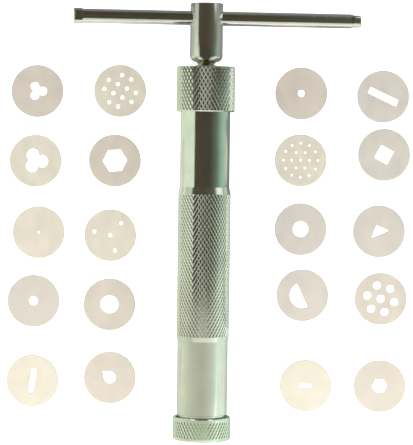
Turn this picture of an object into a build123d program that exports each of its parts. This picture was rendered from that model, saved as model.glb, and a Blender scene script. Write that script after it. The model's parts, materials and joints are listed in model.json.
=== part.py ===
from build123d import *
import os
from math import acos, asin, cos, degrees, sin

# A hand cookie press of turned steel, lying on its side, with its twenty loose dies laid out flat
# beside it. The press axis lies along Y, handle at +Y and outlet at -Y; Z is up and the table is Z = 0.
# All sizes are in millimetres. Stations are distances along the press from its outlet end.

TOUCH = 1e-3  # two radii or stations closer than this are the same

# Whole press
LENGTH = 183.2
COLLAR_RADIUS = 12.2  # the top cap and the retaining ring, which carry the press on the table
AXIS_HEIGHT = COLLAR_RADIUS
AXIS_X = -1.0  # the press lies a little to the left of the middle of the whole set

# Retaining ring that holds one die against the foot of the barrel
RING_TOP = 9.7
RING_LIP = 1.5
RING_BORE = 11.10
OUTLET_RADIUS = 8.5
RING_ROUND = 1.1

# Barrel
BORE_RADIUS = 8.75
FOOT = 2.5
FOOT_THREAD_END = 7.0
FOOT_THREAD_RADIUS = 11.05
NECK_RADIUS = 9.8
NECK_END = 10.75
LOWER_RADIUS = 10.6
LOWER_END = 41.8
GRIP_START = 43.9
GRIP_END = 103.3
GRIP_RADIUS = 11.0
UPPER_START = 106.3
UPPER_RADIUS = 10.4
HEAD_THREAD_START = 139.2
HEAD = 150.35
FINE_PITCH = 1.0
FINE_DEPTH = 0.45

# Top cap, which is also the nut of the spindle
CAP_START = 137.9
CAP_TOP = 156.75
CAP_BORE = 10.45
CAP_CEILING = 150.4
CAP_EDGE = 0.35

# Spindle: two-start trapezoidal thread
SPINDLE_RADIUS = 4.0
SPINDLE_CLEARANCE = 0.05
START_PITCH = 1.5
THREAD_DEPTH = 0.75
THREAD_START = 14.6
THREAD_END = 158.7
JOURNAL_RADIUS = 2.5
JOURNAL_TIP = 6.15
SHOULDER = 12.05
SPIGOT_RADIUS = 3.5
SPIGOT_END = 169.9
TAPPED_RADIUS = 1.55
TAPPED_END = 14.6

# Piston, its seal, and the washer and screw that hold it on the spindle so that it need not turn
PISTON_RADIUS = 8.70
PISTON_START = 3.0
PISTON_END = 12.0
PISTON_WEB = 6.2
PISTON_LEAD = 1.4  # the chamfer that leads the piston into the barrel's bore
PISTON_RECESS_RADIUS = 5.0
SWIVEL_RADIUS = 2.55
SEAL_STATION = 7.6
SEAL_WIRE = 0.75
SEAL_OUTER = 8.72
SEAL_GROOVE_RADIUS = 7.2
SEAL_GROOVE_WIDTH = 1.6
WASHER_RADIUS = 4.4
WASHER_HOLE = 1.6
WASHER_THICKNESS = 0.8
SCREW_RADIUS = 1.5
SCREW_LENGTH = 8.0
SCREW_HEAD_RADIUS = 2.8
SCREW_HEAD_HEIGHT = 1.5
SCREW_SLOT = 0.8

# Handle: a boss on the spindle, with a bar that slides in its cross hole
BOSS_RADIUS = 6.85
BOSS_START = 158.75
BOSS_ROUND = 2.6
BOSS_EDGE = 0.35
BOSS_BLIND_HOLE = 3.52
BOSS_BLIND_END = 170.0
BAR_RADIUS = 3.0
BAR_HOLE = 3.05
BAR_STATION = 177.0
LONG_ARM = 65.5
SHORT_ARM = 55.8
CRIMP_LENGTH = 2.8
CRIMP_RAMP = 1.5
CRIMP_WIDE = 3.3
CRIMP_THIN = 2.5
CRIMP_EDGE = 0.5
BAR_GAP = 0.05  # air left between the long arm's tip and the table

# Dies
DISC_RADIUS = 11.05
DISC_THICKNESS = 0.9
DISC_EDGE = 0.12
CORNER = 0.25


def on_press(shape):
    """Moves a shape drawn about the Y axis, with stations as Y, to its place in the press."""
    return Pos(AXIS_X, -LENGTH / 2, AXIS_HEIGHT) * shape


def turned(outline):
    """A solid of revolution about Y through (radius, station) corners."""
    return revolve(make_face(Polyline(*outline, close=True)), Axis.Y)


def rims(solid, radius, station):
    """The circular edges of one radius at one station."""
    circles = solid.edges().filter_by(GeomType.CIRCLE)
    near = [e for e in circles if abs(e.radius - radius) < TOUCH]
    return [e for e in near if abs(e.arc_center.Y - station) < TOUCH]


def thread_outline(radius, depth, pitch, start, end):
    """Corners along a run of annular thread ridges, from start to end."""
    flat = 0.2 * pitch
    corners = []
    for turn in range(int((end - start) / pitch)):
        groove = start + turn * pitch
        corners.append((radius, groove))
        corners.append((radius - depth, groove + 0.5 * (pitch - 2 * flat)))
        corners.append((radius - depth, groove + 0.5 * (pitch - 2 * flat) + flat))
        corners.append((radius, groove + pitch - flat))
    return corners


def make_barrel():
    edge = 0.3
    outline = [(BORE_RADIUS + edge, FOOT), (FOOT_THREAD_RADIUS - 2 * edge, FOOT)]
    outline += [(FOOT_THREAD_RADIUS, FOOT + 2 * edge)]
    outline += thread_outline(FOOT_THREAD_RADIUS, FINE_DEPTH, FINE_PITCH, FOOT + 0.9, FOOT_THREAD_END - 0.2)
    outline += [(FOOT_THREAD_RADIUS, FOOT_THREAD_END), (NECK_RADIUS, FOOT_THREAD_END)]
    outline += [(NECK_RADIUS, NECK_END), (LOWER_RADIUS - 0.1, NECK_END), (LOWER_RADIUS, NECK_END + 0.1)]
    outline += [(LOWER_RADIUS, LOWER_END), (GRIP_RADIUS, GRIP_START), (GRIP_RADIUS, GRIP_END)]
    outline += [(UPPER_RADIUS, UPPER_START), (UPPER_RADIUS, HEAD_THREAD_START - 0.2)]
    outline += thread_outline(UPPER_RADIUS, FINE_DEPTH, FINE_PITCH, HEAD_THREAD_START, HEAD - 0.8)
    outline += [(UPPER_RADIUS, HEAD - 2 * edge), (UPPER_RADIUS - 2 * edge, HEAD)]
    outline += [(BORE_RADIUS + edge, HEAD), (BORE_RADIUS, HEAD - edge), (BORE_RADIUS, FOOT + edge)]
    return on_press(turned(outline))


def make_bottom_ring():
    mouth = 0.4
    outline = [(OUTLET_RADIUS, 0), (COLLAR_RADIUS, 0), (COLLAR_RADIUS, RING_TOP - CAP_EDGE)]
    outline += [(COLLAR_RADIUS - CAP_EDGE, RING_TOP), (RING_BORE + mouth, RING_TOP)]
    outline += [(RING_BORE, RING_TOP - mouth), (RING_BORE, RING_LIP), (OUTLET_RADIUS, RING_LIP)]
    ring = turned(outline)
    return on_press(fillet(rims(ring, COLLAR_RADIUS, 0), RING_ROUND))


def make_top_cap():
    mouth = 0.4
    hole = SPINDLE_RADIUS + SPINDLE_CLEARANCE
    outline = [(CAP_BORE + mouth, CAP_START), (COLLAR_RADIUS - CAP_EDGE, CAP_START)]
    outline += [(COLLAR_RADIUS, CAP_START + CAP_EDGE), (COLLAR_RADIUS, CAP_TOP - CAP_EDGE)]
    outline += [(COLLAR_RADIUS - CAP_EDGE, CAP_TOP), (hole + mouth, CAP_TOP), (hole, CAP_TOP - mouth)]
    outline += [(hole, CAP_CEILING + mouth), (hole + mouth, CAP_CEILING), (CAP_BORE, CAP_CEILING)]
    outline += [(CAP_BORE, CAP_START + mouth)]
    return on_press(turned(outline))


def make_spindle():
    lead_in = 0.6
    outline = [(TAPPED_RADIUS, JOURNAL_TIP), (JOURNAL_RADIUS, JOURNAL_TIP), (JOURNAL_RADIUS, SHOULDER)]
    outline += [(SPINDLE_RADIUS - lead_in, SHOULDER), (SPINDLE_RADIUS, SHOULDER + lead_in)]
    outline += thread_outline(SPINDLE_RADIUS, THREAD_DEPTH, START_PITCH, THREAD_START, THREAD_END)
    outline += [(SPINDLE_RADIUS, BOSS_START), (SPIGOT_RADIUS, BOSS_START)]
    outline += [(SPIGOT_RADIUS, SPIGOT_END - 0.5), (SPIGOT_RADIUS - 0.5, SPIGOT_END), (0, SPIGOT_END)]
    outline += [(0, TAPPED_END), (TAPPED_RADIUS, TAPPED_END)]
    return on_press(turned(outline))


def make_piston():
    edge = 0.3
    groove_low = SEAL_STATION - SEAL_GROOVE_WIDTH / 2
    groove_high = SEAL_STATION + SEAL_GROOVE_WIDTH / 2
    outline = [(PISTON_RECESS_RADIUS, PISTON_START), (PISTON_RADIUS - PISTON_LEAD, PISTON_START)]
    outline += [(PISTON_RADIUS, PISTON_START + PISTON_LEAD), (PISTON_RADIUS, groove_low)]
    outline += [(SEAL_GROOVE_RADIUS, groove_low), (SEAL_GROOVE_RADIUS, groove_high)]
    outline += [(PISTON_RADIUS, groove_high), (PISTON_RADIUS, PISTON_END - edge)]
    outline += [(PISTON_RADIUS - edge, PISTON_END), (SWIVEL_RADIUS, PISTON_END)]
    outline += [(SWIVEL_RADIUS, PISTON_WEB), (PISTON_RECESS_RADIUS, PISTON_WEB)]
    return on_press(turned(outline))


def make_piston_seal():
    wire = Pos(SEAL_OUTER - SEAL_WIRE, SEAL_STATION) * Circle(SEAL_WIRE)
    return on_press(revolve(wire, Axis.Y))


def make_thrust_washer():
    low = JOURNAL_TIP - WASHER_THICKNESS
    outline = [(WASHER_HOLE, low), (WASHER_RADIUS, low), (WASHER_RADIUS, JOURNAL_TIP), (WASHER_HOLE, JOURNAL_TIP)]
    return on_press(turned(outline))


def make_piston_screw():
    seat = JOURNAL_TIP - WASHER_THICKNESS
    face = seat - SCREW_HEAD_HEIGHT
    outline = [(0, face), (SCREW_HEAD_RADIUS - 0.7, face), (SCREW_HEAD_RADIUS, face + 0.7)]
    outline += [(SCREW_HEAD_RADIUS, seat), (SCREW_RADIUS, seat)]
    outline += [(SCREW_RADIUS, seat + SCREW_LENGTH - 0.4), (SCREW_RADIUS - 0.4, seat + SCREW_LENGTH)]
    outline += [(0, seat + SCREW_LENGTH)]
    slot = Pos(0, face, 0) * Box(3 * SCREW_HEAD_RADIUS, 2 * SCREW_SLOT, SCREW_SLOT)
    return on_press(turned(outline) - slot)


def bar_roll():
    """How far the handle is rolled about the press axis for its long arm to lie down on the table."""
    drop = AXIS_HEIGHT - BAR_GAP - CRIMP_WIDE
    return degrees(asin(drop / (LONG_ARM - CRIMP_EDGE)))


def on_handle(shape):
    """Rolls a shape drawn with the bar level into the handle's resting place."""
    return on_press(Rot(0, bar_roll(), 0) * shape)


def make_handle_boss():
    outline = [(BOSS_BLIND_HOLE, BOSS_START), (BOSS_RADIUS, BOSS_START), (BOSS_RADIUS, LENGTH - BOSS_EDGE)]
    outline += [(BOSS_RADIUS - BOSS_EDGE, LENGTH), (0, LENGTH), (0, BOSS_BLIND_END)]
    outline += [(BOSS_BLIND_HOLE, BOSS_BLIND_END)]
    boss = turned(outline)
    boss = fillet(rims(boss, BOSS_RADIUS, BOSS_START), BOSS_ROUND)
    cross_hole = Pos(0, BAR_STATION, 0) * Rot(0, 90, 0) * Cylinder(BAR_HOLE, 4 * BOSS_RADIUS)
    return on_handle(boss - cross_hole)


def crimped_end(turn):
    """One squeezed end of the bar, drawn along +Z from the round bar, its wide side turned by an angle."""
    oval = Rot(0, 0, turn) * Ellipse(CRIMP_WIDE, CRIMP_THIN)
    ramp = loft([Circle(BAR_RADIUS).face(), (Pos(0, 0, CRIMP_RAMP) * oval).face()])
    tip = extrude(Pos(0, 0, CRIMP_RAMP) * oval, CRIMP_LENGTH)
    tip = chamfer(tip.edges().sort_by(Axis.Z)[-1], CRIMP_EDGE)
    return ramp + tip


def make_tommy_bar():
    crimp = CRIMP_RAMP + CRIMP_LENGTH
    round_low = crimp - SHORT_ARM
    round_high = LONG_ARM - crimp
    middle = Pos(0, 0, (round_low + round_high) / 2) * Cylinder(BAR_RADIUS, round_high - round_low)
    bar = middle + Pos(0, 0, round_high) * crimped_end(0)
    bar += Pos(0, 0, round_low) * Rot(180, 0, 0) * crimped_end(90)
    return on_handle(Pos(0, BAR_STATION, 0) * Rot(0, 90, 0) * bar)


def around(count, radius, hole_radius, start=0.0):
    """Round holes spaced evenly on a circle, as a list."""
    return PolarLocations(radius, count, start_angle=start) * Circle(hole_radius)


def flower(count, radius, hole_radius, start=0.0):
    """Round holes spaced evenly on a circle, and one more in its centre."""
    return Circle(hole_radius) + around(count, radius, hole_radius, start)


def trefoil(lobe_radius, offset, turn=0.0):
    """Three round lobes that run into each other."""
    return Circle(0.7 * lobe_radius) + around(3, offset, lobe_radius, turn)


def twelve_holes(pitch, hole_radius, turn):
    """A square grid of four by four holes without its corners."""
    steps = (-1.5, -0.5, 0.5, 1.5)
    places = [(x * pitch, y * pitch) for x in steps for y in steps if abs(x * y) < 2]
    return Rot(0, 0, turn) * (Sketch() + Locations(*places) * Circle(hole_radius))


def nineteen_holes(inner, outer, hole_radius):
    """One hole, six round it and twelve round those."""
    return flower(6, inner, hole_radius) + around(12, outer, hole_radius)


def slot(length, width, turn):
    return Rot(0, 0, turn) * RectangleRounded(length, width, CORNER)


def hexagon(across_corners, turn):
    return RegularPolygon(across_corners / 2, 6, rotation=turn)


def half_moon(radius, chord):
    """Half a disc, on the clockwise side of a chord through the centre at an angle."""
    keep = Pos(0, -radius) * Rectangle(2 * radius, 2 * radius)
    return Rot(0, 0, chord) * (Circle(radius) & keep)


def teardrop(radius, tip, turn):
    """A circle with the two tangents that meet in a point."""
    spread = acos(radius / tip)
    touch = [(radius * cos(spread), side * radius * sin(spread)) for side in (1, -1)]
    point = make_face(Polyline((tip, 0), *touch, close=True))
    return Rot(0, 0, turn) * (Circle(radius) + point)


def right_triangle(leg, turn):
    """A right isosceles triangle centred on its middle, its right angle towards the turn."""
    reach = leg / 2 ** 0.5
    face = make_face(Polyline((reach, 0), (0, reach), (0, -reach), close=True))
    return Rot(0, 0, turn) * Pos(-reach / 3, 0) * face


# Every die by the shape it cuts: where its centre lies on the table, and its opening
DIES = {
    "trefoil_small": ((-72.5, 54.4), trefoil(1.9, 2.2)),
    "trefoil_large": ((-73.0, 24.8), trefoil(2.7, 2.7, -4)),
    "pin_hole": ((-71.4, -5.6), Circle(0.6)),
    "round_medium": ((-73.3, -34.9), Circle(2.0)),
    "slot_long": ((-73.4, -69.0), slot(10.6, 2.3, 82)),
    "twelve_hole": ((-37.4, 54.9), twelve_holes(4.25, 0.9, -25)),
    "hexagon_large": ((-39.3, 25.3), hexagon(10.6, 4)),
    "four_hole": ((-40.9, -6.5), flower(3, 6.9, 0.85, 48)),
    "round_extra_large": ((-40.9, -36.0), Circle(3.9)),
    "teardrop": ((-40.4, -67.3), teardrop(2.6, 4.4, 139)),
    "round_small": ((39.6, 54.8), Circle(1.5)),
    "nineteen_hole": ((39.7, 26.4), nineteen_holes(3.75, 7.3, 0.6)),
    "round_large": ((40.1, -2.9), Circle(3.4)),
    "half_moon": ((41.3, -31.1), half_moon(5.5, -65)),
    "slot_short": ((43.2, -69.7), slot(5.2, 1.6, 0)),
    "ribbon": ((74.4, 53.9), slot(13.4, 3.0, -25)),
    "square": ((75.2, 29.2), Rot(0, 0, -28) * RectangleRounded(6.3, 6.3, CORNER)),
    "triangle": ((73.5, -3.4), right_triangle(6.1, 113)),
    "seven_hole": ((74.7, -32.2), flower(6, 5.9, 1.75, -13)),
    "hexagon_small": ((74.8, -69.5), hexagon(6.9, 3)),
}


def make_disc(place, opening):
    """A stamped die, flat on the table."""
    blank = Cylinder(DISC_RADIUS, DISC_THICKNESS, align=(Align.CENTER, Align.CENTER, Align.MIN))
    blank = chamfer(blank.edges().filter_by(GeomType.CIRCLE), DISC_EDGE)
    punch = extrude(Pos(0, 0, -1) * opening, DISC_THICKNESS + 2)
    return Pos(*place, 0) * (blank - punch)


parts = {
    "barrel": make_barrel(),
    "bottom_ring": make_bottom_ring(),
    "top_cap": make_top_cap(),
    "spindle": make_spindle(),
    "piston": make_piston(),
    "piston_seal": make_piston_seal(),
    "thrust_washer": make_thrust_washer(),
    "piston_screw": make_piston_screw(),
    "handle_boss": make_handle_boss(),
    "tommy_bar": make_tommy_bar(),
}
for die, (place, opening) in DIES.items():
    parts[f"disc_{die}"] = make_disc(place, opening)

os.makedirs("parts", exist_ok=True)
for node, solid in parts.items():
    export_step(solid, f"parts/{node}.step")
    box = solid.bounding_box()
    print(f"{node:24s} solids {len(solid.solids())} volume {solid.volume:9.1f} "
          f"x {box.min.X:7.2f} {box.max.X:7.2f} y {box.min.Y:7.2f} {box.max.Y:7.2f} z {box.min.Z:6.2f} {box.max.Z:6.2f}")
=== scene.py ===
"""Looks of a hand cookie press that lies among its twenty loose dies."""

import json
from math import atan2, ceil, cos, hypot, pi, radians, sin, tau

import bmesh
import bpy
from mathutils import Matrix, Vector


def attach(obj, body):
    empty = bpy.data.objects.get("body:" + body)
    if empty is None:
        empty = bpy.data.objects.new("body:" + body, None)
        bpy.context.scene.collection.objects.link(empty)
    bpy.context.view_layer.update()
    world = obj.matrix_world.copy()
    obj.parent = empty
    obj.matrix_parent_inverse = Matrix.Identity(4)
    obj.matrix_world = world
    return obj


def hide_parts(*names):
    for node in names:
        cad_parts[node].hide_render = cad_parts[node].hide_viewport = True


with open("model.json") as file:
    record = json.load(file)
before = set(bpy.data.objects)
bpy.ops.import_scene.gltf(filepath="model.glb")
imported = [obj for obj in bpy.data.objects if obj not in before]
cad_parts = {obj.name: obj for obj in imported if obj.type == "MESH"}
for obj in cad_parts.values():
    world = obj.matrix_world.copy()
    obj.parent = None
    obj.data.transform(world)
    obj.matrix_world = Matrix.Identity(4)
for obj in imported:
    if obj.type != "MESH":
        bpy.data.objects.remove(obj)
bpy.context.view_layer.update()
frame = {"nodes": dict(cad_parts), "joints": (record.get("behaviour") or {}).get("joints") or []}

MM = 0.001

# The press, in millimetres. Its axis runs along Y, and stations are distances from its outlet end.
LENGTH = 183.2
AXIS_X = -1.0
COLLAR_RADIUS = 12.2
AXIS_HEIGHT = COLLAR_RADIUS
EDGE = 0.3
CHAMFER = 0.4  # at the ends of the fine threads and the spindle's hole
SMALL_CHAMFER = 0.2
SHOULDER_CHAMFER = 0.1
THREAD_GAP = 0.5  # from the end of a fine thread to the end of its piece
COLUMNS = 180  # points round a smooth turned surface
SHARP = radians(10)  # faces that meet at more than this show an edge

RING_TOP = 9.7
RING_LIP = 1.5
RING_BORE = 11.10
OUTLET_RADIUS = 8.5
RING_ROUND = 1.1
DIE_SPACE = 1.0  # between the lip and the barrel's foot

BORE_RADIUS = 8.75
FOOT = 2.5
FOOT_THREAD_END = 7.0
FOOT_THREAD_RADIUS = 11.05
NECK_RADIUS = 9.8
NECK_END = 10.75
LOWER_RADIUS = 10.6
LOWER_END = 41.8
GRIP_START = 43.9
GRIP_END = 103.3
GRIP_RADIUS = 11.0
UPPER_START = 106.3
UPPER_RADIUS = 10.4
HEAD_THREAD_START = 139.2
HEAD = 150.35

CAP_START = 137.9
CAP_TOP = 156.75
CAP_BORE = 10.45
CAP_CEILING = 150.4
CAP_EDGE = 0.35

SPINDLE_RADIUS = 4.0
SPINDLE_HOLE = 4.05
JOURNAL_RADIUS = 2.5
JOURNAL_TIP = 6.15
SHOULDER = 12.05
SPIGOT_RADIUS = 3.5
SPIGOT_END = 169.9
SPIGOT_CHAMFER = 0.5
TAPPED_RADIUS = 1.55
TAPPED_END = 14.6

BOSS_RADIUS = 6.85
BOSS_START = 158.75
BOSS_ROUND = 2.6
BOSS_EDGE = 0.35
BOSS_BLIND_HOLE = 3.52
BOSS_BLIND_END = 170.0
BAR_RADIUS = 3.0
BAR_HOLE = 3.05
BAR_STATION = 177.0
LONG_ARM = 65.5
SHORT_ARM = 55.8
CRIMP_LENGTH = 2.8
CRIMP_RAMP = 1.5
CRIMP_WIDE = 3.3
CRIMP_THIN = 2.45
CRIMP_EDGE = 0.4
CRIMP_STEPS = 6

# Threads: pitch, number of starts, depth. A ridge's corners are (share of the pitch, share of the depth).
FINE_THREAD = (1.0, 1, 0.4)
SPINDLE_THREAD = (1.5, 2, 0.75)
RIDGE = ((0.0, 0.0), (0.26, 0.0), (0.5, 1.0), (0.76, 1.0))
THREAD_COLUMNS = 96

# Knurls: cells round, height of a cell, and half cells along
KNURL_DEPTH = 0.19
KNURL_FLAT = 0.66  # a cell's flat, as a share of the cell
KNURL_LEAD = 0.15  # from a knurl's end to the plain surface beside it
GRIP_KNURL = (45, 2.64, 45)
CAP_KNURL = (46, 2.98, 12)
RING_KNURL = (51, 2.72, 5)
CAP_KNURL_START = 138.4
RING_KNURL_START = 1.55
DIAMOND = ((-1, 0), (0, -1), (1, 0), (0, 1))  # a cell's corners: half cells round, half cells along


class Skin:
    """The surface of one piece, built loop by loop about the Y axis in millimetres."""

    def __init__(self):
        self.bm = bmesh.new()

    def point(self, radius, angle, station):
        return self.bm.verts.new((radius * cos(angle), station, radius * sin(angle)))

    def loop(self, radius, station, columns=COLUMNS):
        """A closed loop of points. The radius is a number or a function of the angle; 0 gives one point."""
        if radius == 0:
            return [self.point(0, 0, station)]
        shape = radius if callable(radius) else lambda angle: radius
        angles = [tau * column / columns for column in range(columns)]
        return [self.point(shape(angle), angle, station) for angle in angles]

    def join(self, one, other):
        """Faces between two loops: quads where they match, and otherwise triangles in order of angle."""
        if len(one) == len(other):
            for k in range(len(one)):
                self.bm.faces.new((one[k - 1], one[k], other[k], other[k - 1]))
            return
        one, other = in_order(one), in_order(other)
        i = j = 0
        while i + 1 < len(one) or j + 1 < len(other):
            if j + 1 == len(other) or (i + 1 < len(one) and one[i + 1][0] <= other[j + 1][0]):
                self.bm.faces.new((one[i][1], one[i + 1][1], other[j][1]))
                i += 1
            else:
                self.bm.faces.new((one[i][1], other[j + 1][1], other[j][1]))
                j += 1

    def turned(self, outline, after=None, columns=COLUMNS):
        """Loops through (radius, station) corners, joined on after a loop; returns the last of them."""
        for radius, station in outline:
            loop = self.loop(radius, station, columns)
            if after:
                self.join(after, loop)
            after = loop
        return after

    def knurled(self, knurl, radius, start):
        """A band of diamond knurling; returns its first and last loops."""
        cells, height, rows = knurl
        across, along = pi / cells, height / 2
        corners, first, last = {}, [], []
        for row in range(rows + 1):
            for cell in range(cells):
                angle = across * (2 * cell + row % 2 + 1)
                corners[row, cell] = self.point(radius - KNURL_DEPTH, angle, start + row * along)
        for row in range(rows + 1):
            for cell in range(cells):
                angle = across * (2 * cell + row % 2)
                beside = (cell - 1 + row % 2) % cells
                around = ((row, (cell - 1) % cells), (row - 1, beside), (row, cell), (row + 1, beside))
                tips = {}
                for k in range(4):
                    if around[k] in corners:
                        station = start + (row + KNURL_FLAT * DIAMOND[k][1]) * along
                        tips[k] = self.point(radius, angle + KNURL_FLAT * DIAMOND[k][0] * across, station)
                self.bm.faces.new(tips.values())
                for k in tips:
                    nearby = (k + 1) % 4
                    if nearby in tips:
                        slope = (corners[around[k]], corners[around[nearby]], tips[nearby], tips[k])
                        self.bm.faces.new(slope)
                if row in (0, rows):
                    edge = last if row else first
                    edge += [corners[row, cell], tips[0], tips[2]]
        return first, last

    def threaded(self, thread, crest, root, start, end):
        """A right-hand thread between two stations; returns its first and last loops."""
        pitch, starts, _ = thread
        others = set(self.bm.faces)
        rows = []
        for turn in range(-1, ceil((end - start) / pitch) + starts + 1):
            for share, depth in RIDGE:
                radius = crest + depth * (root - crest)
                row = []
                for column in range(THREAD_COLUMNS):
                    station = start + pitch * (turn + share - starts * column / THREAD_COLUMNS)
                    row.append(self.point(radius, tau * column / THREAD_COLUMNS, station))
                rows.append(row)
        lead = len(RIDGE) * starts
        for k in range(lead, len(rows)):
            # a row runs on, a full turn later, into the row one lead below it
            low = rows[k - 1] + [rows[k - 1 - lead][0]] if k > lead else rows[k - 1]
            high = rows[k] + [rows[k - lead][0]]
            for column in range(len(low) - 1):
                self.bm.faces.new((low[column], low[column + 1], high[column + 1], high[column]))
        return self.cut_off(others, start, -1), self.cut_off(others, end, 1)

    def cut_off(self, others, station, side):
        """Cuts the faces that aren't among the others at a station, and returns the loop on the cut."""
        faces = [face for face in self.bm.faces if face not in others]
        edges = {edge for face in faces for edge in face.edges}
        verts = {vert for face in faces for vert in face.verts}
        cut = bmesh.ops.bisect_plane(
            self.bm, geom=faces + list(edges) + list(verts), dist=1e-6,
            plane_co=(0, station, 0), plane_no=(0, side, 0), clear_outer=True)
        return [item for item in cut["geom_cut"] if isinstance(item, bmesh.types.BMVert)]


def in_order(loop):
    """(angle, point) round a loop, with its first point again a full turn later. A lone point comes once."""
    ordered = sorted(((atan2(vert.co.z, vert.co.x) % tau, vert) for vert in loop), key=lambda pair: pair[0])
    return ordered + [(ordered[0][0] + tau, ordered[0][1])] if len(loop) > 1 else ordered


def bottom_round(radius, station, blend, steps=10):
    """(radius, station) corners up a rounded bottom edge."""
    angles = [pi / 2 * step / steps for step in range(steps + 1)]
    return [(radius - blend * (1 - sin(a)), station + blend * (1 - cos(a))) for a in angles]


def knurl_end(knurl, start):
    return start + knurl[1] / 2 * knurl[2]


def barrel_skin():
    skin = Skin()
    bore = skin.loop(BORE_RADIUS, HEAD - EDGE)
    root = FOOT_THREAD_RADIUS - FINE_THREAD[2]
    foot = [(BORE_RADIUS, FOOT + EDGE), (BORE_RADIUS + EDGE, FOOT), (root - EDGE, FOOT), (root, FOOT + EDGE)]
    below = skin.turned(foot, bore)
    first, last = skin.threaded(FINE_THREAD, FOOT_THREAD_RADIUS, root, FOOT + THREAD_GAP, FOOT_THREAD_END)
    skin.join(below, first)
    lower = [(NECK_RADIUS, FOOT_THREAD_END), (NECK_RADIUS, NECK_END),
             (LOWER_RADIUS - SHOULDER_CHAMFER, NECK_END)]
    lower += [(LOWER_RADIUS, NECK_END + SHOULDER_CHAMFER), (LOWER_RADIUS, LOWER_END)]
    lower += [(GRIP_RADIUS, GRIP_START - KNURL_LEAD)]
    below = skin.turned(lower, last)
    first, last = skin.knurled(GRIP_KNURL, GRIP_RADIUS, GRIP_START)
    skin.join(below, first)
    root = UPPER_RADIUS - FINE_THREAD[2]
    upper = [(GRIP_RADIUS, GRIP_END + KNURL_LEAD), (UPPER_RADIUS, UPPER_START)]
    upper += [(UPPER_RADIUS, HEAD_THREAD_START - 2 * THREAD_GAP), (root, HEAD_THREAD_START - THREAD_GAP)]
    below = skin.turned(upper, last)
    end = HEAD - CHAMFER - SMALL_CHAMFER
    first, last = skin.threaded(FINE_THREAD, UPPER_RADIUS, root, HEAD_THREAD_START, end)
    skin.join(below, first)
    head = [(root, HEAD - CHAMFER), (root - CHAMFER, HEAD), (BORE_RADIUS + EDGE, HEAD)]
    skin.join(skin.turned(head, last), bore)
    return skin


def ring_skin():
    skin = Skin()
    outlet = skin.loop(OUTLET_RADIUS, RING_LIP)
    outside = [(OUTLET_RADIUS, 0)] + bottom_round(COLLAR_RADIUS, 0, RING_ROUND)
    below = skin.turned(outside + [(COLLAR_RADIUS, RING_KNURL_START - KNURL_LEAD)], outlet)
    first, last = skin.knurled(RING_KNURL, COLLAR_RADIUS, RING_KNURL_START)
    skin.join(below, first)
    root = RING_BORE + FINE_THREAD[2]
    top = [(COLLAR_RADIUS, knurl_end(RING_KNURL, RING_KNURL_START) + KNURL_LEAD)]
    top += [(COLLAR_RADIUS, RING_TOP - CAP_EDGE), (COLLAR_RADIUS - CAP_EDGE, RING_TOP)]
    mouth = skin.turned(top + [(root, RING_TOP), (root, RING_TOP - SMALL_CHAMFER)], last)
    start = RING_LIP + DIE_SPACE + SMALL_CHAMFER
    first, last = skin.threaded(FINE_THREAD, RING_BORE, root, start, RING_TOP - CHAMFER)
    skin.join(mouth, last)
    seat = skin.turned([(root, RING_LIP + DIE_SPACE), (root, RING_LIP)], first)
    skin.join(seat, outlet)
    return skin


def cap_skin():
    skin = Skin()
    root = CAP_BORE + FINE_THREAD[2]
    mouth = skin.loop(root, CAP_START)
    rim = [(COLLAR_RADIUS - CAP_EDGE, CAP_START), (COLLAR_RADIUS, CAP_START + CAP_EDGE)]
    below = skin.turned(rim + [(COLLAR_RADIUS, CAP_KNURL_START - KNURL_LEAD)], mouth)
    first, last = skin.knurled(CAP_KNURL, COLLAR_RADIUS, CAP_KNURL_START)
    skin.join(below, first)
    top = [(COLLAR_RADIUS, knurl_end(CAP_KNURL, CAP_KNURL_START) + KNURL_LEAD)]
    top += [(COLLAR_RADIUS, CAP_TOP - CAP_EDGE), (COLLAR_RADIUS - CAP_EDGE, CAP_TOP)]
    top += [(SPINDLE_HOLE + CHAMFER, CAP_TOP), (SPINDLE_HOLE, CAP_TOP - CHAMFER)]
    top += [(SPINDLE_HOLE, CAP_CEILING + CHAMFER), (SPINDLE_HOLE + CHAMFER, CAP_CEILING)]
    top += [(root, CAP_CEILING), (root, CAP_CEILING - 2 * CHAMFER)]
    ceiling = skin.turned(top, last)
    start, end = CAP_START + THREAD_GAP, CAP_CEILING - 2 * THREAD_GAP
    first, last = skin.threaded(FINE_THREAD, CAP_BORE, root, start, end)
    skin.join(ceiling, last)
    skin.join(first, mouth)
    return skin


def spindle_skin():
    skin = Skin()
    root = SPINDLE_RADIUS - SPINDLE_THREAD[2]
    journal = [(0, TAPPED_END), (TAPPED_RADIUS, TAPPED_END), (TAPPED_RADIUS, JOURNAL_TIP + SMALL_CHAMFER)]
    journal += [(TAPPED_RADIUS + SMALL_CHAMFER, JOURNAL_TIP), (JOURNAL_RADIUS - SMALL_CHAMFER, JOURNAL_TIP)]
    journal += [(JOURNAL_RADIUS, JOURNAL_TIP + SMALL_CHAMFER), (JOURNAL_RADIUS, SHOULDER), (root, SHOULDER)]
    below = skin.turned(journal, columns=THREAD_COLUMNS)
    start, end = SHOULDER + 2 * CHAMFER, BOSS_START - SHOULDER_CHAMFER
    first, last = skin.threaded(SPINDLE_THREAD, SPINDLE_RADIUS, root, start, end)
    skin.join(below, first)
    spigot = [(SPINDLE_RADIUS, BOSS_START), (SPIGOT_RADIUS, BOSS_START)]
    spigot += [(SPIGOT_RADIUS, SPIGOT_END - SPIGOT_CHAMFER), (SPIGOT_RADIUS - SPIGOT_CHAMFER, SPIGOT_END)]
    skin.turned(spigot + [(0, SPIGOT_END)], last, THREAD_COLUMNS)
    return skin


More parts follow.
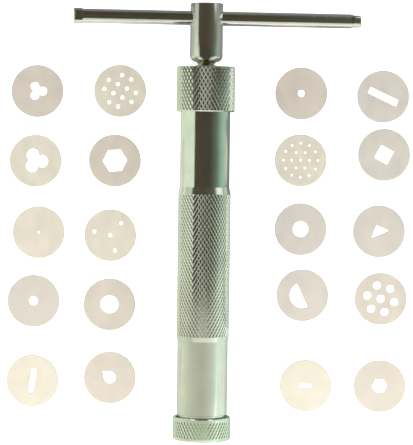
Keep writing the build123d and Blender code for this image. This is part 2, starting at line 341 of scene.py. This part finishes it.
def boss_skin():
    skin = Skin()
    blind = [(0, BOSS_BLIND_END), (BOSS_BLIND_HOLE, BOSS_BLIND_END), (BOSS_BLIND_HOLE, BOSS_START)]
    skin.turned(blind + bottom_round(BOSS_RADIUS, BOSS_START, BOSS_ROUND)
                + [(BOSS_RADIUS, LENGTH - BOSS_EDGE), (BOSS_RADIUS - BOSS_EDGE, LENGTH), (0, LENGTH)])
    return skin


def squeezed(amount, turn, inset=0.0):
    """The bar's radius by angle, with two opposite sides pressed flat: 0 is round and 1 is fully pressed."""
    wide = BAR_RADIUS + amount * (CRIMP_WIDE - BAR_RADIUS)
    flat = BAR_RADIUS + amount * (CRIMP_THIN - BAR_RADIUS)

    def radius(angle):
        thin_way, wide_way = abs(cos(angle - turn)), abs(sin(angle - turn))
        oval = 1 / hypot(thin_way / BAR_RADIUS, wide_way / wide)
        return min(oval, flat / max(thin_way, 0.01)) - inset

    return radius


def bar_skin():
    """The bar along Y. Its long end is squeezed one way and its short end the other way."""
    skin = Skin()
    after = None
    ramp = [step / CRIMP_STEPS for step in range(CRIMP_STEPS + 1)]
    for tip, turn, inward in ((-SHORT_ARM, pi / 2, 1), (LONG_ARM, 0, -1)):
        loops = [(0, tip), (squeezed(1, turn, CRIMP_EDGE), tip)]
        loops += [(squeezed(1, turn), tip + inward * CRIMP_EDGE)]
        for share in ramp:
            station = tip + inward * (CRIMP_LENGTH + CRIMP_RAMP * share)
            eased = share * share * (3 - 2 * share)
            loops.append((squeezed(1 - eased, turn), station))
        after = skin.turned(loops if inward > 0 else reversed(loops), after, THREAD_COLUMNS)
    return skin


def hole_skin():
    """What is drilled out of the boss for the bar, along Y."""
    skin = Skin()
    reach = 2 * BOSS_RADIUS
    skin.turned([(0, -reach), (BAR_HOLE, -reach), (BAR_HOLE, reach), (0, reach)], columns=THREAD_COLUMNS)
    return skin


def sharpened(bm):
    """Smooth shading with hard edges where the surface turns sharply."""
    for face in bm.faces:
        face.smooth = True
    for edge in bm.edges:
        edge.smooth = edge.is_manifold and edge.calc_face_angle() < SHARP


def solid(name, skin, matrix):
    """An object with a skin's mesh, moved to its place in metres."""
    skin.bm.transform(matrix)
    bmesh.ops.recalc_face_normals(skin.bm, faces=skin.bm.faces)
    sharpened(skin.bm)
    mesh = bpy.data.meshes.new(name)
    skin.bm.to_mesh(mesh)
    skin.bm.free()
    obj = bpy.data.objects.new(name, mesh)
    bpy.context.scene.collection.objects.link(obj)
    return obj


def drilled(obj, drill):
    """Cuts one object's shape out of another for good."""
    cut = obj.modifiers.new("drilled", "BOOLEAN")
    cut.operation = "DIFFERENCE"
    cut.solver = "EXACT"
    cut.object = drill
    graph = bpy.context.evaluated_depsgraph_get()
    mesh = bpy.data.meshes.new_from_object(obj.evaluated_get(graph))
    obj.modifiers.clear()
    bpy.data.objects.remove(drill)
    bm = bmesh.new()
    bm.from_mesh(mesh)
    sharpened(bm)
    bm.to_mesh(mesh)
    bm.free()
    obj.data = mesh
    return obj


def finished(obj, material, body, node):
    """Gives a piece its material and its body, and hides the CAD node it stands for."""
    obj.data.materials.clear()
    obj.data.materials.append(material)
    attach(obj, body)
    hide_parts(node)


# Materials


def add(tree, kind, links=None, **values):
    """A node with its properties set, and its inputs linked to sockets or set to values."""
    node = tree.nodes.new(kind)
    for name, value in values.items():
        setattr(node, name, value)
    for socket, source in (links or {}).items():
        if isinstance(source, bpy.types.NodeSocket):
            tree.links.new(source, node.inputs[socket])
        else:
            node.inputs[socket].default_value = source
    return node


COLOUR_CLOUDS = 120.0  # noise scales
GLOSS_CLOUDS = 300.0
GLOSS_STRETCH = (1, 0.4, 1)


def noise(tree, scale, stretch=(1, 1, 1), detail=3.0):
    """Noise from 0 to 1 in the piece's own metres, stretched along the axes with small numbers."""
    place = add(tree, "ShaderNodeTexCoord").outputs["Object"]
    mapping = add(tree, "ShaderNodeMapping", {"Vector": place, "Scale": stretch})
    links = {"Vector": mapping.outputs[0], "Scale": scale, "Detail": detail}
    return add(tree, "ShaderNodeTexNoise", links).outputs["Fac"]


def between(tree, share, low, high):
    """A number that goes from low to high as the share goes from 0.3 to 0.7."""
    links = {"Value": share, "From Min": 0.3, "From Max": 0.7, "To Min": low, "To Max": high}
    return add(tree, "ShaderNodeMapRange", links).outputs[0]


def blended(tree, share, low, high):
    """A colour from low to high."""
    ramp = add(tree, "ShaderNodeValToRGB", {"Fac": share})
    for stop, (place, colour) in zip(ramp.color_ramp.elements, ((0.35, low), (0.65, high))):
        stop.position = place
        stop.color = (*colour, 1)
    return ramp.outputs["Color"]


def metal(name, low, high, gloss, marks, mark_depth, metallic=1.0):
    """Metal with cloudy colour and gloss, and marks: (noise scale, stretch) of its finest texture."""
    material = bpy.data.materials.new(name)
    material.use_nodes = True
    tree = material.node_tree
    shader = tree.nodes["Principled BSDF"]
    texture = noise(tree, *marks)
    bump = add(tree, "ShaderNodeBump", {"Height": texture, "Distance": mark_depth * MM, "Strength": 1.0})
    links = {
        "Base Color": blended(tree, noise(tree, COLOUR_CLOUDS), low, high),
        "Roughness": between(tree, noise(tree, GLOSS_CLOUDS, GLOSS_STRETCH), *gloss),
        "Normal": bump.outputs["Normal"],
    }
    for socket, source in links.items():
        tree.links.new(source, shader.inputs[socket])
    shader.inputs["Metallic"].default_value = metallic
    return material


# painted shade: the grey painted into the dies' colour along their edges and openings, and how wide that
# painted rim is in millimetres
RIM_SHADE_GREY = (0.50, 0.51, 0.50, 1)
RIM_SHADE_WIDTH = 0.5


def paint_rim_shade(material):
    """Paints shade into a flat sheet's colour along its edges: greyer where a rounded normal leaves the flat
    one.
    """
    tree = material.node_tree
    shader = tree.nodes["Principled BSDF"]
    face_colour = shader.inputs["Base Color"].links[0].from_socket
    rounded = add(tree, "ShaderNodeBevel", {"Radius": RIM_SHADE_WIDTH * MM}).outputs["Normal"]
    flat = add(tree, "ShaderNodeNewGeometry").outputs["True Normal"]
    agreement = add(tree, "ShaderNodeVectorMath", {0: rounded, 1: flat}, operation="DOT_PRODUCT")
    links = {"Value": agreement.outputs["Value"], "From Min": 0.80, "From Max": 0.99}
    on_face = add(tree, "ShaderNodeMapRange", links).outputs[0]
    # a mix of colours has its factor at input 0, its colours at 6 and 7, and its result at output 2
    mix = add(tree, "ShaderNodeMix", {0: on_face, 6: RIM_SHADE_GREY, 7: face_colour}, data_type="RGBA")
    tree.links.new(mix.outputs[2], shader.inputs["Base Color"])


# the finest marks: a noise scale and how it is stretched
ROUND_MARKS = (1.0, (60, 7000, 60))  # rings of tool marks about Y
GRAIN = (1500.0,)
DIE_GRAIN = (2500.0,)
plated = metal("plated steel", (0.76, 0.78, 0.74), (0.82, 0.84, 0.80), (0.10, 0.17), ROUND_MARKS, 0.0006)
zinc_plated = metal("zinc plated steel", (0.72, 0.81, 0.70), (0.78, 0.87, 0.76), (0.12, 0.20), GRAIN, 0.0006)
handle_steel = metal("handle steel", (0.72, 0.72, 0.69), (0.79, 0.79, 0.76), (0.09, 0.14), ROUND_MARKS, 0.001)
screw_steel = metal("yellow screw", (0.46, 0.39, 0.24), (0.60, 0.53, 0.36), (0.18, 0.30), GRAIN, 0.002)
piston_steel = metal("piston steel", (0.60, 0.60, 0.58), (0.70, 0.70, 0.68), (0.22, 0.34), ROUND_MARKS, 0.001)
DIE_GLOSS = (0.50, 0.60)
DIE_TONES = {
    "straw": ((0.89, 0.82, 0.72), (0.93, 0.86, 0.755)),
    "rose": ((0.79, 0.71, 0.64), (0.84, 0.755, 0.68)),
    "grey": ((0.79, 0.725, 0.67), (0.83, 0.765, 0.71)),
}
DIES_BY_TONE = {
    "straw": ("trefoil_large", "pin_hole", "slot_long", "twelve_hole", "four_hole", "nineteen_hole",
              "slot_short"),
    "rose": ("trefoil_small", "hexagon_large", "round_extra_large", "teardrop", "round_small", "seven_hole",
             "hexagon_small"),
    "grey": ("round_medium", "round_large", "half_moon", "ribbon", "square", "triangle"),
}
seal_rubber = metal("seal rubber", (0.012, 0.012, 0.013), (0.02, 0.02, 0.021), (0.45, 0.6), GRAIN, 0.01, 0.0)

# Own pieces

PRESS = Matrix.Scale(MM, 4) @ Matrix.Translation((AXIS_X, -LENGTH / 2, AXIS_HEIGHT))
slide = Vector(next(joint["axis"] for joint in frame["joints"] if joint["name"] == "bar_slide"))
HANDLE = PRESS @ Matrix.Rotation(atan2(-slide.z, slide.x), 4, "Y")
BAR = HANDLE @ Matrix.Translation((0, BAR_STATION, 0)) @ Matrix.Rotation(-pi / 2, 4, "Z")

finished(solid("barrel_steel", barrel_skin(), PRESS), plated, "barrel", "barrel")
finished(solid("ring_steel", ring_skin(), PRESS), zinc_plated, "ring", "bottom_ring")
finished(solid("cap_steel", cap_skin(), PRESS), plated, "cap", "top_cap")
finished(solid("spindle_screw", spindle_skin(), PRESS), screw_steel, "spindle", "spindle")
boss = drilled(solid("boss_steel", boss_skin(), HANDLE), solid("drill", hole_skin(), BAR))
finished(boss, handle_steel, "spindle", "handle_boss")
finished(solid("bar_steel", bar_skin(), BAR), handle_steel, "bar", "tommy_bar")

# CAD pieces

cad_looks = {"piston": piston_steel, "thrust_washer": screw_steel, "piston_screw": screw_steel,
             "piston_seal": seal_rubber}
for tone, dies in DIES_BY_TONE.items():
    die_steel = metal(f"stamped {tone} steel", *DIE_TONES[tone], DIE_GLOSS, DIE_GRAIN, 0.004, 0.6)
    # the dies get painted shade along their edges and openings
    paint_rim_shade(die_steel)
    for die in dies:
        cad_looks[f"disc_{die}"] = die_steel
for node, look in cad_looks.items():
    data = frame["nodes"][node].data
    data.materials.clear()
    data.materials.append(look)

# Studio


def staged(name, mesh):
    obj = bpy.data.objects.new(name, mesh)
    bpy.context.scene.collection.objects.link(obj)
    return obj


def emission(name, axis, stops):
    """Light whose colour changes along one axis: stops are (millimetres, colour)."""
    material = bpy.data.materials.new(name)
    material.use_nodes = True
    tree = material.node_tree
    tree.nodes.clear()
    place = add(tree, "ShaderNodeTexCoord").outputs["Object"]
    along = add(tree, "ShaderNodeSeparateXYZ", {"Vector": place}).outputs[axis]
    first, last = stops[0][0], stops[-1][0]
    links = {"Value": along, "From Min": first * MM, "From Max": last * MM}
    share = add(tree, "ShaderNodeMapRange", links).outputs[0]
    ramp = add(tree, "ShaderNodeValToRGB", {"Fac": share})
    elements = ramp.color_ramp.elements
    while len(elements) < len(stops):
        elements.new(0.5)
    for element, (position, colour) in zip(elements, stops):
        element.position = (position - first) / (last - first)
        element.color = (*colour, 1)
    light = add(tree, "ShaderNodeEmission", {"Color": ramp.outputs["Color"], "Strength": 1.0})
    output = add(tree, "ShaderNodeOutputMaterial")
    tree.links.new(light.outputs[0], output.inputs["Surface"])
    return material


def panel(name, low, high, axis, stops):
    """A flat card of the studio between two corners, in millimetres. Only reflections show it."""
    flat = next(k for k in range(3) if low[k] == high[k])
    one, other = (k for k in range(3) if k != flat)
    bm = bmesh.new()
    corners = []
    for first, second in ((low, low), (high, low), (high, high), (low, high)):
        corner = list(low)
        corner[one] = first[one]
        corner[other] = second[other]
        corners.append(bm.verts.new(Vector(corner) * MM))
    bm.faces.new(corners)
    mesh = bpy.data.meshes.new(name)
    bm.to_mesh(mesh)
    bm.free()
    obj = staged(name, mesh)
    obj.data.materials.append(emission(name, axis, stops))
    for kind in ("camera", "diffuse", "transmission", "volume_scatter", "shadow"):
        setattr(obj, f"visible_{kind}", False)


def even(colour):
    """Stops for a card of one colour."""
    return ((LEFT, colour), (RIGHT, colour))


# The room: how far its cards reach, in millimetres
CEILING = 170
LEFT_WALL_TOP = 900
FLOOR_CARD = 0.02
LEFT, RIGHT, NEAR, FAR = -600, 450, -700, 600
# Where its colours change along X
LEFT_EDGE = -180  # of the dark ceiling
HANDLE_LEFT_EDGE = -262  # of the dark ceiling, for the handle
SOFTBOX_EDGE, SOFTBOX_MIDDLE = 170, 235
# and along Y
CREAM_EDGE = -115
FOOT_EDGE = -46  # where the dark ceiling ends, towards the outlet
HANDLE_EDGE = 70  # beyond this the cards are duller, for the handle
SOFTBOX_START, SOFTBOX_NEAR_START = 110, 112
HANDLE_END = 120
WALL_HANDLE_END = 130
FLOOR_HANDLE_START, FLOOR_HANDLE_END = 66, 92
# Where a blend between two of its colours starts or ends, along X
STRAW_END, IVORY_START = -200, -165
DULL_END = -60
SHADE_START, SHADE_END = -24, 15  # about the dark strip under the press
FOOT_SHADE_END = 40
IVORY_END = 30
BROWN_END = 60
PALE_START = 380
# Its colours
WHITE = (1.05, 1.12, 1.02)
GREEN_WHITE = (0.8, 0.9, 0.7)
PALE_GREEN = (0.85, 1.0, 0.85)
DULL_WHITE = (0.60, 0.65, 0.55)
STONE = (0.45, 0.48, 0.42)
STRAW = (0.7, 0.75, 0.55)
DRY_STRAW = (0.65, 0.65, 0.5)
PALE_STRAW = (0.75, 0.8, 0.66)
SAND = (0.52, 0.52, 0.42)
IVORY = (0.8, 0.8, 0.68)
BRIGHT_IVORY = (1.2, 1.3, 1.1)
BROWN = (0.07, 0.06, 0.04)
MOSS = (0.24, 0.4, 0.28)
SAGE = (0.4, 0.58, 0.45)
UMBER = (0.085, 0.07, 0.05)
OLIVE = (0.19, 0.2, 0.15)
LICHEN = (0.38, 0.42, 0.35)
GREY = (0.17, 0.17, 0.155)
SHADE = (0.2, 0.22, 0.2)
PALE_SHADE = (0.3, 0.3, 0.3)
DARK = ((LEFT_EDGE, BROWN), (BROWN_END, BROWN), (RIGHT, MOSS))
DARK_HANDLE = ((HANDLE_LEFT_EDGE, UMBER), (0, UMBER), (RIGHT, OLIVE))
BEIGE = ((LEFT, STRAW), (0, SAND), (PALE_START, PALE_GREEN), (RIGHT, PALE_GREEN))
CREAM = ((LEFT, DRY_STRAW), (STRAW_END, DRY_STRAW), (IVORY_START, IVORY), (IVORY_END, IVORY),
         (PALE_START, BRIGHT_IVORY), (RIGHT, BRIGHT_IVORY))
panel("ceiling", (LEFT_EDGE, FOOT_EDGE, CEILING), (RIGHT, HANDLE_EDGE, CEILING), "X", DARK)
panel("ceiling_handle", (HANDLE_LEFT_EDGE, HANDLE_EDGE, CEILING), (SOFTBOX_EDGE, HANDLE_END, CEILING),
      "X", DARK_HANDLE)
panel("ceiling_handle_right", (SOFTBOX_MIDDLE, HANDLE_EDGE, CEILING), (RIGHT, SOFTBOX_START, CEILING),
      "X", DARK_HANDLE)
panel("ceiling_handle_gap", (SOFTBOX_EDGE, HANDLE_EDGE, CEILING),
      (SOFTBOX_MIDDLE, SOFTBOX_NEAR_START, CEILING), "X", DARK_HANDLE)
panel("ceiling_far", (LEFT_EDGE, HANDLE_END, CEILING), (SOFTBOX_EDGE, FAR, CEILING), "X", DARK)
panel("ceiling_beige", (LEFT, CREAM_EDGE, CEILING), (RIGHT, FOOT_EDGE, CEILING), "X", BEIGE)
panel("ceiling_cream", (LEFT, NEAR, CEILING), (RIGHT, CREAM_EDGE, CEILING), "X", CREAM)
panel("softbox", (SOFTBOX_MIDDLE, SOFTBOX_START, CEILING), (RIGHT, FAR, CEILING), "X", even(WHITE))
panel("softbox_near", (SOFTBOX_EDGE, SOFTBOX_NEAR_START, CEILING), (SOFTBOX_MIDDLE, FAR, CEILING),
      "X", even(WHITE))
panel("left_wall", (LEFT, NEAR, 0), (LEFT, FAR, LEFT_WALL_TOP), "Y",
      ((-50, STRAW), (-40, GREEN_WHITE), (90, GREEN_WHITE), (98, DULL_WHITE)))
panel("right_wall", (RIGHT, FOOT_EDGE, 0), (RIGHT, HANDLE_EDGE, CEILING), "Z",
      ((0, SAGE), (CEILING, MOSS)))
panel("right_wall_handle", (RIGHT, HANDLE_EDGE, 0), (RIGHT, WALL_HANDLE_END, CEILING), "Z",
      ((0, LICHEN), (CEILING, OLIVE)))
panel("right_wall_far", (RIGHT, WALL_HANDLE_END, 0), (RIGHT, FAR, CEILING), "Y", even(WHITE))
panel("right_wall_near", (RIGHT, NEAR, 0), (RIGHT, FOOT_EDGE, CEILING), "Y", even(PALE_GREEN))
panel("far_wall", (LEFT_EDGE, FAR, 0), (-LEFT_EDGE, FAR, CEILING), "X", even(GREY))
UNDER = ((LEFT, GREEN_WHITE), (SHADE_START, GREEN_WHITE), (0, SHADE), (SHADE_END, SHADE),
         (HANDLE_EDGE, SAGE), (RIGHT, SAGE))
UNDER_HANDLE = ((LEFT, DULL_WHITE), (DULL_END, DULL_WHITE), (SHADE_START, STONE), (0, SHADE),
                (SHADE_END, PALE_SHADE), (HANDLE_EDGE, LICHEN), (RIGHT, LICHEN))
UNDER_FOOT = ((LEFT, PALE_STRAW), (SHADE_START, PALE_STRAW), (0, PALE_SHADE),
              (FOOT_SHADE_END, PALE_GREEN), (RIGHT, PALE_GREEN))
panel("floor_glow", (LEFT, FOOT_EDGE, FLOOR_CARD), (RIGHT, FLOOR_HANDLE_START, FLOOR_CARD), "X", UNDER)
panel("floor_glow_handle", (LEFT, FLOOR_HANDLE_START, FLOOR_CARD), (RIGHT, FLOOR_HANDLE_END, FLOOR_CARD),
      "X", UNDER_HANDLE)
panel("floor_glow_foot", (LEFT, NEAR, FLOOR_CARD), (RIGHT, FOOT_EDGE, FLOOR_CARD), "X", UNDER_FOOT)
panel("floor_far", (LEFT, FLOOR_HANDLE_END, FLOOR_CARD), (RIGHT, FAR, FLOOR_CARD), "X",
      ((LEFT, SHADE), (RIGHT, PALE_SHADE)))

FLOOR_REACH = 1.5  # metres
FLOOR_GLOW = 0.6


def pale_floor():
    """The sheet of paper that the press and its dies lie on, a little bright in itself."""
    bm = bmesh.new()
    for x, y in ((-1, -1), (1, -1), (1, 1), (-1, 1)):
        bm.verts.new((x * FLOOR_REACH, y * FLOOR_REACH, -0.1 * MM))
    bm.faces.new(bm.verts[:])
    mesh = bpy.data.meshes.new("floor")
    bm.to_mesh(mesh)
    bm.free()
    floor = staged("floor", mesh)
    paper = metal("paper", (0.93, 0.93, 0.93), (0.95, 0.95, 0.95), (0.9, 0.95), GRAIN, 0.001, 0.0)
    floor.data.materials.append(paper)
    shader = paper.node_tree.nodes["Principled BSDF"]
    shader.inputs["Emission Color"].default_value = (1, 1, 1, 1)
    shader.inputs["Emission Strength"].default_value = FLOOR_GLOW


pale_floor()

scene = bpy.context.scene
scene.view_settings.view_transform = "Standard"
world = bpy.data.worlds.new("studio")
world.use_nodes = True
surround = world.node_tree.nodes["Background"]
surround.inputs["Color"].default_value = (1.0, 1.0, 0.99, 1)
surround.inputs["Strength"].default_value = 1.3
scene.world = world


def soft_light(name, place, aim, size, energy):
    """A square lamp at a place in metres that looks at another."""
    lamp = bpy.data.lights.new(name, "AREA")
    lamp.size = size
    lamp.energy = energy
    obj = bpy.data.objects.new(name, lamp)
    scene.collection.objects.link(obj)
    obj.matrix_world = looking(Vector(place), Vector(aim), Vector((0, 0, 1)))


def looking(place, aim, up):
    """Where a lamp or camera stands that looks at a point, with one direction upward in its picture."""
    back = (place - aim).normalized()
    right = up.cross(back).normalized()
    turn = Matrix((right, back.cross(right), back)).transposed().to_4x4()
    return Matrix.Translation(place) @ turn


soft_light("front softbox", (0.1, -0.9, 0.9), (0, 0, 0), 0.7, 4.0)

# The camera stands nearly overhead, and is rolled a little
CAMERA_PLACE = Vector((-0.001, 0.030, 0.90))
CAMERA_AIM = Vector((0.0, -0.00016, 0.0122))
ROLL = radians(0.74)
camera_data = bpy.data.cameras.new("camera")
camera_data.sensor_width = 36
camera_data.lens = 171
camera = bpy.data.objects.new("camera", camera_data)
scene.collection.objects.link(camera)
camera.matrix_world = looking(CAMERA_PLACE, CAMERA_AIM, Vector((-sin(ROLL), cos(ROLL), 0)))
scene.camera = camera
